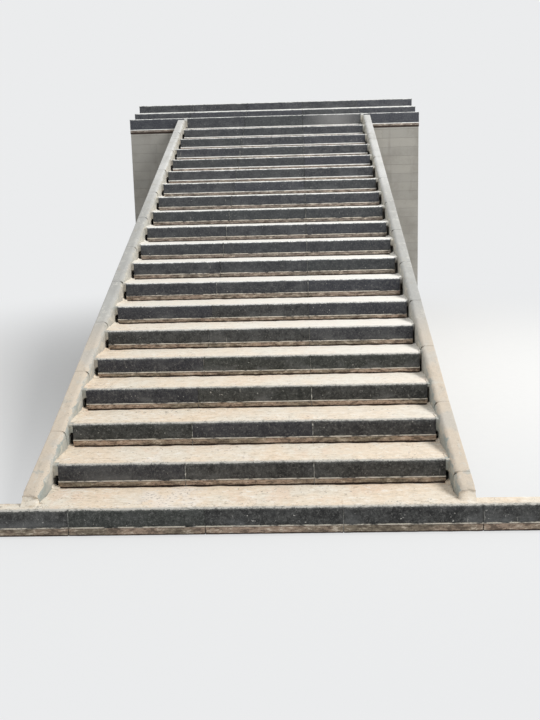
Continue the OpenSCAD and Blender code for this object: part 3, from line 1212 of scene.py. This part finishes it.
def fill_gaps():
    """Plugs of mortar beside the stone ends, and mounds below them where there is a plug."""
    plug_model = model_gap_plug()
    mound_model = model_gap_mound()
    below_stone = Vector((0, 0, -0.0015))
    plugs = []
    mounds = []
    for step in range(1, wide_from):
        for side in (-1, 1):
            length = chance.uniform(0.85, 1.1)
            if side > 0:
                length = right_lengths.get(step, chance.uniform(0.3, 0.8))
            front = nosings[step]
            stone_end = (flight_half if side < 0 else course_ends[step]) - stone_joint / 2
            width = kerb_low.x + kerb_overlap + stands_out(side, front) - stone_end
            share = side * width / gap_width
            top = Vector((side * stone_end, front + chance.uniform(0.0, 0.004), tread_levels[step + 1]))
            foot = Vector((top.x, front + 0.02, foot_levels[step]))
            if length > 0:
                size = Matrix.Diagonal((share, 1, length, 1))
                plugs.append(copy_to(plug_model, Matrix.Translation(top + below_stone) @ size))
                size = Matrix.Diagonal((share, 1, chance.uniform(0.7, 1.3), 1))
                mounds.append(copy_to(mound_model, Matrix.Translation(foot) @ size))
    for side in (-1, 1):
        top = Vector((side * (kerb_low.x - 0.03), nosings[wide_from] - 0.01, tread_levels[wide_from + 1]))
        size = Matrix.Diagonal((side * 1.3, 0.4, 1.85, 1))
        plugs.append(copy_to(plug_model, Matrix.Translation(top) @ size))
    remove([plug_model, mound_model])
    fill = join("gap_mortar", plugs)
    measure_kerb(fill)
    wear(fill, 0.05, 0.01, contrast=1.3, lift=0.2)
    wear(fill, 0.012, 0.004, contrast=1.3, lift=0.5)
    finish_piece(fill, kerb_finish, "tread_concrete", angle=60)
    foot_fill = join("gap_feet", mounds)
    measure(foot_fill, "behind_nose", lambda place: going / 2)
    measure(foot_fill, "below_top", lambda place: 0.0)
    wear(foot_fill, 0.03, 0.009, contrast=1.4)
    finish_piece(foot_fill, tread_finish, "tread_concrete", angle=60)


fill_gaps()


# Splashes of mortar on the dark faces and crumbs on the treads
def model_crumb():
    """A rough grain about 1 m across with a flattened underside, which the copies make small."""
    bpy.ops.mesh.primitive_ico_sphere_add(subdivisions=2, radius=0.5)
    crumb = bpy.context.object
    open_mesh(crumb)
    pick("FACE", lambda f: middle(f).z < -0.2)
    bpy.ops.mesh.dissolve_faces()
    pick("VERT", lambda v: v.co.z < -0.1)
    bpy.ops.transform.resize(value=(1, 1, 0.3))
    close_mesh()
    wear(crumb, 0.6, 0.35, contrast=1.5)
    return crumb


def scatter(name, places, finish):
    """Crumbs at the places, each with its size and turn, as one piece."""
    model = model_crumb()
    crumbs = []
    for place, size, turn in places:
        crumbs.append(copy_to(model, Matrix.Translation(place) @ turn @ Matrix.Diagonal((*size, 1))))
    remove([model])
    finish_piece(join(name, crumbs), finish, "tread_concrete", angle=60)


def crumb_places():
    """Most crumbs of a tread lie near the foot of the next course."""
    places = []
    for step in range(wide_from):
        for _ in range(16 if step < 8 else 7):
            across = chance.uniform(-1, 1) * (flight_half if step else flight_half - 0.1)
            back = nosings[step] + going - foot_out - abs(chance.gauss(0, 0.12)) - 0.008
            back = max(back, nosings[step] + 0.05)
            behind = max(0.0, back - nosings[step] - stone_back)
            drop = tread_fall * behind / (going - foot_out - stone_back)
            size = chance.uniform(0.004, 0.011)
            height = size * chance.uniform(0.45, 0.8)
            place = Vector((across, back, tread_levels[step + 1] - drop - 0.001))
            length = size * chance.uniform(0.8, 1.7)
            turn = Matrix.Rotation(chance.uniform(0, 6.28), 4, "Z")
            places.append((place, (length, size, height), turn))
    return places


def splash_places():
    """Splashes lie on the battered faces, more of them on the lowest courses."""
    places = []
    for step in range(wide_from):
        for _ in range(14 if step < 6 else 8):
            over = chance.uniform(0.004, face_height - 0.03)
            half = course_ends[step] - 0.02
            size = chance.uniform(0.0025, 0.0065)
            across = chance.uniform(-half, half)
            face = nosings[step] - face_batter * (1 - over / face_height)
            place = Vector((across, face + 0.0022, ledge_levels[step] + over))
            length = size * chance.uniform(0.7, 1.6)
            height = size * chance.uniform(0.7, 2.2)
            turn = Matrix.Rotation(chance.uniform(-0.7, 0.7), 4, "Y")
            places.append((place, (length, 0.004, height), turn))
    return places


scatter("crumbs", crumb_places(), crumb_finish)
scatter("mortar_splashes", splash_places(), splash_finish)


# Floor, light and background
def light_panel(name, place, target, size, power):
    panel = bpy.data.objects.new(name, bpy.data.lights.new(name, "AREA"))
    bpy.context.scene.collection.objects.link(panel)
    panel.data.shape = "DISK"
    panel.data.size = size
    panel.data.energy = power
    panel.location = place
    panel.rotation_euler = (Vector(target) - Vector(place)).to_track_quat("-Z", "Y").to_euler()


def set_stage():
    bpy.ops.mesh.primitive_plane_add(size=400, location=(0, 0, -0.001))
    floor = bpy.context.object
    floor.name = "floor"
    floor.data.materials.append(floor_finish())
    world = bpy.data.worlds.new("pale_room")
    bpy.context.scene.world = world
    world.use_nodes = True
    nodes = world.node_tree.nodes
    links = world.node_tree.links
    light = nodes["Background"]
    light.inputs["Color"].default_value = (0.95, 0.97, 1.0, 1)
    light.inputs["Strength"].default_value = 0.62
    backdrop = nodes.new("ShaderNodeBackground")
    backdrop.inputs["Color"].default_value = backdrop_colour
    choice = nodes.new("ShaderNodeMixShader")
    links.new(nodes.new("ShaderNodeLightPath").outputs["Is Camera Ray"], choice.inputs["Fac"])
    links.new(light.outputs["Background"], choice.inputs[1])
    links.new(backdrop.outputs["Background"], choice.inputs[2])
    links.new(choice.outputs["Shader"], nodes["World Output"].inputs["Surface"])
    light_panel("key_panel", place=(12, -3, 15), target=(0, -1, 1.2), size=7, power=2600)


set_stage()
bpy.context.scene.view_settings.view_transform = "Standard"
